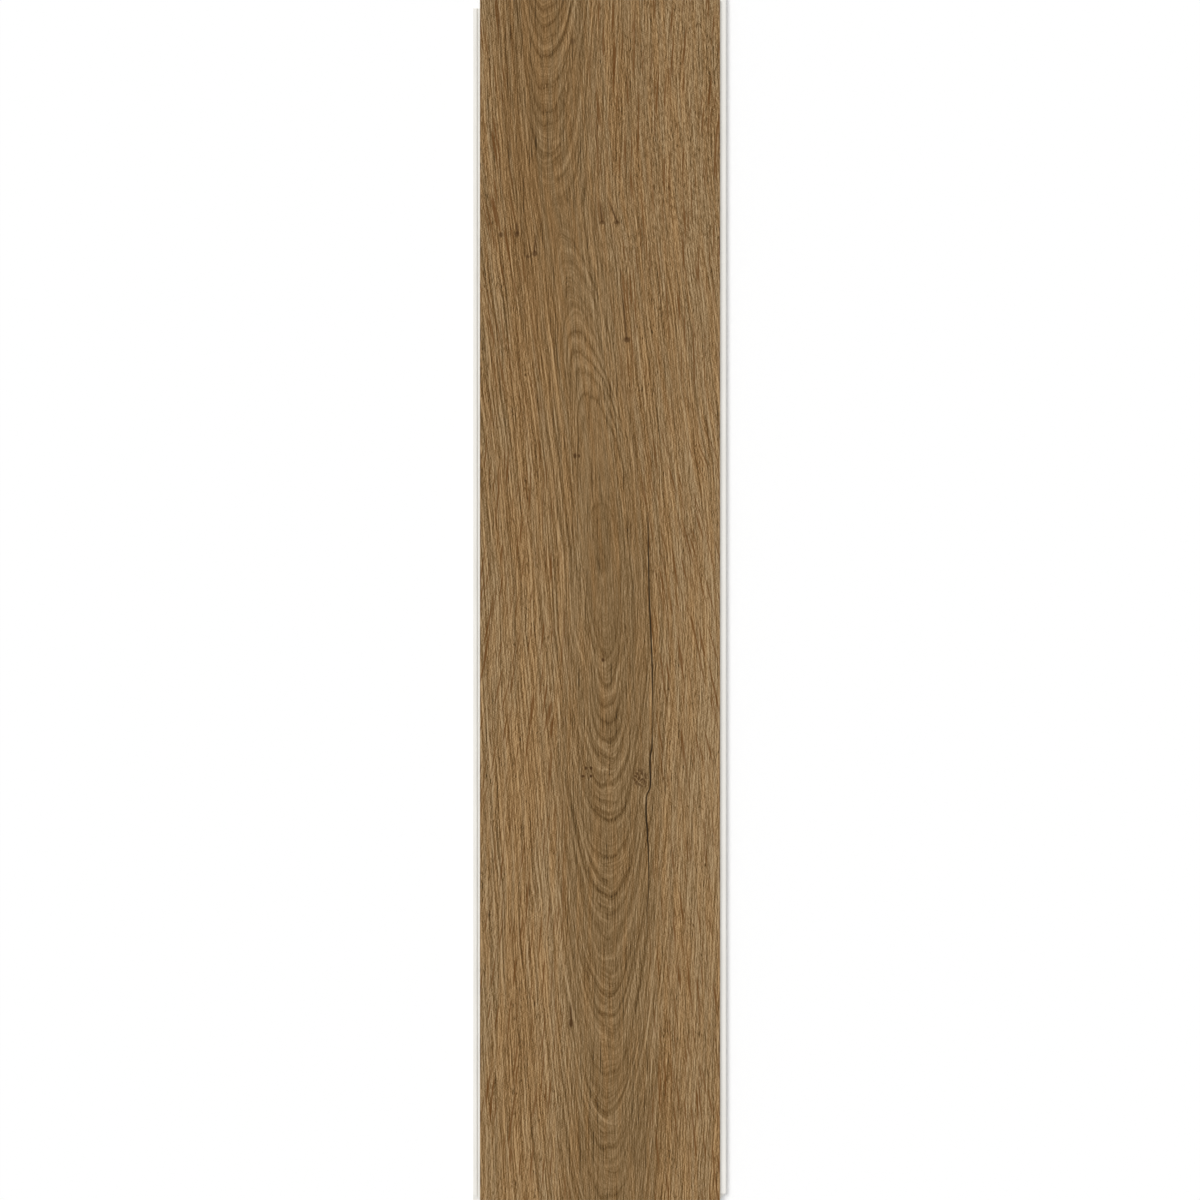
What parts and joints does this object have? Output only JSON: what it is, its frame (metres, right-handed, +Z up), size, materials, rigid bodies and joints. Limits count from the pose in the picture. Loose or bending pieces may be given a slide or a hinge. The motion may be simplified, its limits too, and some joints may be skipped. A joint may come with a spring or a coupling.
{
  "type": "herringbone hybrid floor plank",
  "caption": "Short rigid floor plank with a brown oak face, a fine bevel and a click tongue and groove milled on its edges, laid in a herringbone.",
  "frame": {"origin": "on the underside, below the centre of the face", "axes": "+X across the plank towards the long tongue, +Y along the plank towards the end tongue, +Z up through the face"},
  "size_m": [0.1268, 0.6067, 0.0065],
  "materials": {
    "oak_plank": "matte"
  },
  "bodies": {
    "root": {"floor_plank": "oak_plank"}
  },
  "joints": []
}
